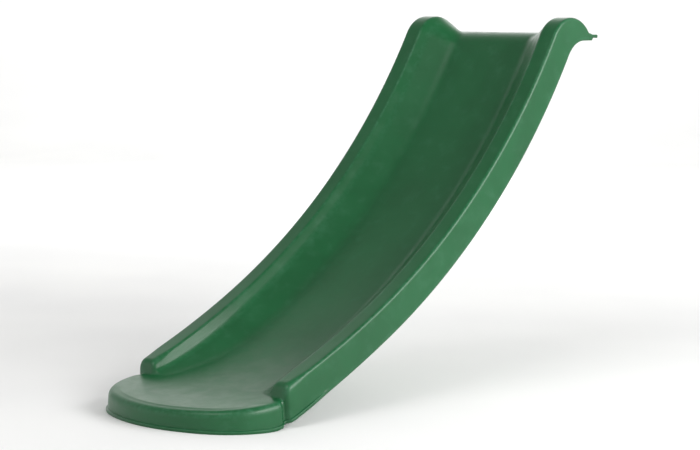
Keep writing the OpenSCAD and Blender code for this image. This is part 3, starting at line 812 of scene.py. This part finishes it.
def studio_paper(name):
    """Pale matte floor with a faint paper tooth."""
    mat, n = new_material(name)
    co = n.object_place()
    tooth = n.noise(co, 240.0, 3.0, 0.6)
    colour = n.blend(n.ramp(n.noise(co, 1.6, 2.0, 0.5), 0.3, 0.7), (0.84, 0.84, 0.83, 1), (0.80, 0.80, 0.795, 1))
    shader = n.add("ShaderNodeBsdfPrincipled", in_Base_Color=colour, in_Roughness=0.75,
                   in_Normal=n.bump(tooth, 0.0002, 0.3), in_Specular_IOR_Level=0.25)
    n.link_out(shader)
    return mat


GREEN = (0.0055, 0.086, 0.026, 1)
DEEP = (0.0040, 0.073, 0.021, 1)
# Lighter green for random patches, bed rubs and rubbed edges; on the edges it is also painted highlight.
WORN_AND_HIGHLIGHT = (0.045, 0.165, 0.090, 1)
shell_mat = moulded_plastic("satin_green_plastic", GREEN, DEEP, WORN_AND_HIGHLIGHT, True)
under_mat = moulded_plastic("satin_green_plastic_under", GREEN, DEEP, WORN_AND_HIGHLIGHT, False)
cap_mat = moulded_plastic("cap_green_plastic", (0.0060, 0.090, 0.028, 1), GREEN, WORN_AND_HIGHLIGHT, False)
steel_mat = zinc_steel("zinc_plated_steel")

for ob, mat, node, slot in ((shell, shell_mat, "upper_skin", "slide_plastic"),
                            (under, under_mat, "lower_skin", "slide_plastic"),
                            (caps, cap_mat, "screw_caps", "cap_plastic"),
                            (screws, steel_mat, "fixing_screws", "zinc_steel"),
                            (washers, steel_mat, "screw_washers", "zinc_steel")):
    ob.data.materials.clear()
    ob.data.materials.append(mat)
    ob.data.polygons.foreach_set("material_index", np.zeros(len(ob.data.polygons), np.int32))
    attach(ob, "root")
    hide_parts(node)


# ---------------------------------------------------------------- stage, lights and camera
def backdrop(front=-9.0, wall=7.0, bend=2.0, top=8.0, half_width=14.0, heading=0.75):
    """Floor that runs level and then curves up behind: a profile in Y and Z drawn out along X, then turned."""
    a = np.linspace(0, np.pi / 2, 24)
    curve = np.stack([wall - bend + bend * np.sin(a), bend - bend * np.cos(a)], -1)
    prof = np.concatenate([[[front, 0.0]], curve, [[wall, top]]])
    xs = np.linspace(-half_width, half_width, 3)
    x, row = np.meshgrid(xs, np.arange(len(prof)), indexing="ij")
    c, s = math.cos(heading), math.sin(heading)
    verts = np.stack([x, prof[row, 0], prof[row, 1]], -1).reshape(-1, 3) @ np.array([[c, s, 0], [-s, c, 0], [0, 0, 1]])
    g = np.arange(len(verts)).reshape(len(xs), len(prof))
    ob = placed("studio_floor", verts, grid_quads(g)[:, ::-1].tolist())
    ob.data.shade_smooth()
    ob.data.materials.append(studio_paper("studio_paper"))
    return ob


floor = backdrop()


def soft_light(name, place, target, size, power):
    """Rectangular area light at a place, aimed at a target."""
    data = bpy.data.lights.new(name, "AREA")
    data.shape = "RECTANGLE"
    data.size, data.size_y = size
    data.energy = power
    ob = bpy.data.objects.new(name, data)
    ob.location = place
    ob.rotation_mode = "QUATERNION"
    ob.rotation_quaternion = (Vector(target) - Vector(place)).to_track_quat("-Z", "Y")
    ob.visible_camera = False
    bpy.context.collection.objects.link(ob)


soft_light("right_wall", (3.0, 0.6, 1.7), (0, 0, 0.3), (3.0, 1.6), 128)
soft_light("back_sky", (-1.6, 3.6, 1.7), (0, 0, 0.2), (4.6, 2.0), 22)
soft_light("front_top", (0.2, -2.4, 3.0), (0, 0, 0.4), (2.4, 1.6), 34)
soft_light("wall_wash", (-1.5, 1.9, 3.6), (-4.4, 4.7, 1.4), (4.0, 1.0), 150)

# Surroundings: bright at the horizon and dimmer overhead
world = bpy.data.worlds.new("studio")
world.use_nodes = True
sky = Nodes(world.node_tree)
height = sky.add("ShaderNodeSeparateXYZ", UPWARD, in_Vector=sky.add("ShaderNodeTexCoord"))
glow = sky.ramp(height, 0.0, 0.8, 1.15, 0.35)
sky.link_out(sky.add("ShaderNodeBackground", in_Color=(1, 1, 1, 1), in_Strength=glow), "ShaderNodeOutputWorld")
bpy.context.scene.world = world
bpy.context.scene.view_settings.view_transform = "Standard"

# Camera: in front and to the right of the foot, looking slightly down
CAMERA_PLACE = (2.483, -3.125 + BACK_Y * MM, 0.681)
CAMERA_AZIMUTH, CAMERA_PITCH = math.radians(43.10), math.radians(6.23)
cam_data = bpy.data.cameras.new("camera")
cam_data.sensor_width = 36
cam_data.lens = 108
cam = bpy.data.objects.new("camera", cam_data)
cam.location = CAMERA_PLACE
cam.rotation_mode = "QUATERNION"
ahead = Vector((-math.sin(CAMERA_AZIMUTH) * math.cos(CAMERA_PITCH), math.cos(CAMERA_AZIMUTH) * math.cos(CAMERA_PITCH),
                -math.sin(CAMERA_PITCH)))
cam.rotation_quaternion = ahead.to_track_quat("-Z", "Y")
bpy.context.collection.objects.link(cam)
bpy.context.scene.camera = cam
